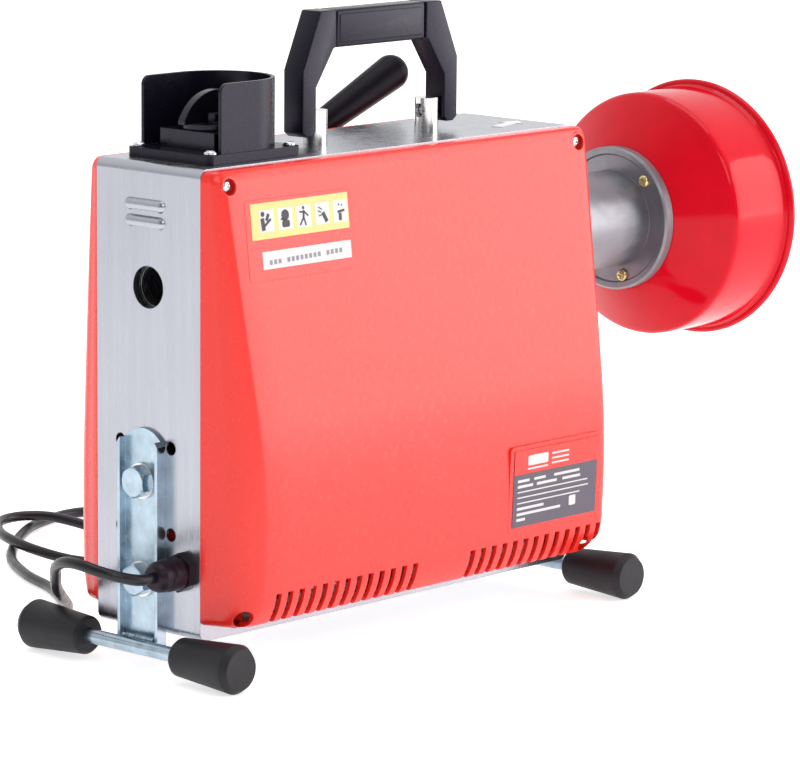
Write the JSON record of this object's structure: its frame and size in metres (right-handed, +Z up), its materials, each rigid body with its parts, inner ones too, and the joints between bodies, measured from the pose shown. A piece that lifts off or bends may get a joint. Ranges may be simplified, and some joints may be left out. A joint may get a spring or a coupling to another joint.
{
  "type": "drain snake machine",
  "caption": "Portable sectional drain cleaning machine with a sheet metal frame, red side covers, hollow drive spindle, clutch lever and round bowl guard.",
  "frame": {"origin": "on the floor, under the middle of the machine's box without its free power cord", "axes": "+X along the spindle from the cable inlet towards the bowl guard, +Y to the clutch lever's side, +Z up"},
  "size_m": [0.6335, 0.4892, 0.424],
  "materials": {
    "frame_metal": "satin zinc plated sheet with fine rolling grain",
    "red_plastic": "semi-gloss moulded plastic with a faint orange peel",
    "zinc": "bright zinc plated screws",
    "yellow_label": "printed foil label with plain symbols",
    "white_label": "plain white strip",
    "grey_label": "printed foil plate with a red band and plain bars",
    "silver_label": "pale sticker",
    "blue_zinc": "blue passivated zinc plating, mottled",
    "foot_rubber": "matt moulded rubber",
    "dark_plastic": "dark grey moulded plastic with a fine grain",
    "black_plastic": "black moulded plastic",
    "post_steel": "bright turned steel",
    "plate_steel": "black oxide steel",
    "bronze": "sintered bronze",
    "turned_steel": "turned steel with fine rings",
    "grip_plastic": "soft grip plastic",
    "bearing_steel": "ground bearing steel",
    "jaw_steel": "hardened tool steel",
    "cast_alloy": "as cast aluminium alloy with machined faces",
    "pulley_iron": "machined cast iron",
    "belt_rubber": "ribbed drive belt rubber",
    "bowl_plastic": "glossy deep red moulding",
    "yellow_zinc": "yellow passivated zinc",
    "motor_paint": "dark enamel",
    "core_steel": "stacked electrical steel",
    "silver_can": "drawn aluminium can",
    "gland_plastic": "black nylon",
    "cord_rubber": "black rubber sheath with a dull sheen",
    "prong_brass": "nickel free brass"
  },
  "bodies": {
    "machine": {"frame_shell": "frame_metal", "near_cover": "red_plastic", "far_cover": "red_plastic", "cover_screws": "zinc", "hazard_label": "yellow_label", "serial_label": "white_label", "rating_plate": "grey_label", "arrow_label": "silver_label", "front_foot_bracket": "blue_zinc", "rear_foot_bracket": "blue_zinc", "rubber_feet": "foot_rubber", "bracket_bolts": "blue_zinc", "bracket_washers": "zinc", "bracket_nuts": "zinc", "switch_guard": "dark_plastic", "guard_screws": "zinc", "switch_body": "black_plastic", "handle_posts": "post_steel", "post_screws": "zinc", "handle_body": "dark_plastic", "handle_grip": "dark_plastic", "handle_screws": "zinc", "lever_bracket": "plate_steel", "lever_bushes": "bronze", "spindle_bearings": "bearing_steel", "front_bearing_housing": "cast_alloy", "drive_belt": "belt_rubber", "neck_housing": "cast_alloy", "neck_screws": "zinc", "bowl_guard": "bowl_plastic", "bowl_screws": "yellow_zinc", "motor_housing": "motor_paint", "motor_end_bells": "cast_alloy", "motor_bearings": "bearing_steel", "stator_core": "core_steel", "motor_mount": "plate_steel", "capacitor": "silver_can", "gland_body": "gland_plastic", "gland_cap": "gland_plastic", "cord_tube": "cord_rubber", "cord_coil": "cord_rubber", "plug_body": "cord_rubber", "plug_prongs": "prong_brass"},
    "switch_knob": {"switch_knob": "black_plastic"},
    "lever": {"lever_shaft": "turned_steel", "lever_arm": "plate_steel", "lever_grip": "grip_plastic", "clutch_fork": "plate_steel"},
    "thrust_ring": {"thrust_collar": "turned_steel", "release_bearing": "bearing_steel"},
    "spindle_set": {"spindle": "turned_steel", "driven_pulley": "pulley_iron", "jaw_head": "turned_steel"},
    "sleeve": {"clutch_sleeve": "turned_steel"},
    "jaw_a": {"jaw_1": "jaw_steel"},
    "jaw_b": {"jaw_2": "jaw_steel"},
    "jaw_c": {"jaw_3": "jaw_steel"},
    "rotor_set": {"motor_rotor": "core_steel", "cooling_fan": "black_plastic", "drive_pulley": "pulley_iron"}
  },
  "joints": [
    {"name": "switch_turn", "type": "hinge", "parent": "machine", "child": "switch_knob", "pos_m": [-0.20725, 0, 0.3445], "axis": [0, 0, 1], "range_deg": [-45, 45]},
    {"name": "lever_swing", "type": "hinge", "parent": "machine", "child": "lever", "pos_m": [-0.07775, 0, 0.3055], "axis": [0, 1, 0], "range_deg": [0, 18], "stiffness_Nm_per_rad": 12, "springref_deg": -8.59},
    {"name": "collar_slide", "type": "slide", "parent": "machine", "child": "thrust_ring", "axis": [-1, 0, 0], "range_m": [0, 0.0163]},
    {"name": "spindle_spin", "type": "hinge", "parent": "machine", "child": "spindle_set", "pos_m": [-0.06775, 0, 0.2535], "axis": [1, 0, 0], "continuous": true},
    {"name": "sleeve_slide", "type": "slide", "parent": "spindle_set", "child": "sleeve", "axis": [-1, 0, 0], "range_m": [0, 0.0163]},
    {"name": "jaw_a_slide", "type": "slide", "parent": "spindle_set", "child": "jaw_a", "axis": [0, 0, -1], "range_m": [0, 0.0055]},
    {"name": "jaw_b_slide", "type": "slide", "parent": "spindle_set", "child": "jaw_b", "axis": [0, 0.866, 0.5], "range_m": [0, 0.0055]},
    {"name": "jaw_c_slide", "type": "slide", "parent": "spindle_set", "child": "jaw_c", "axis": [0, -0.866, 0.5], "range_m": [0, 0.0055]},
    {"name": "motor_spin", "type": "hinge", "parent": "machine", "child": "rotor_set", "pos_m": [-0.10775, 0, 0.1195], "axis": [1, 0, 0], "continuous": true}
  ],
  "couplings": [
    {"joint": "collar_slide", "follows": "lever_swing", "m_per_rad": 0.05188},
    {"joint": "sleeve_slide", "follows": "lever_swing", "m_per_rad": 0.05188},
    {"joint": "jaw_a_slide", "follows": "lever_swing", "m_per_rad": 0.0175},
    {"joint": "jaw_b_slide", "follows": "lever_swing", "m_per_rad": 0.0175},
    {"joint": "jaw_c_slide", "follows": "lever_swing", "m_per_rad": 0.0175},
    {"joint": "motor_spin", "follows": "spindle_spin", "ratio": 2.6667}
  ]
}
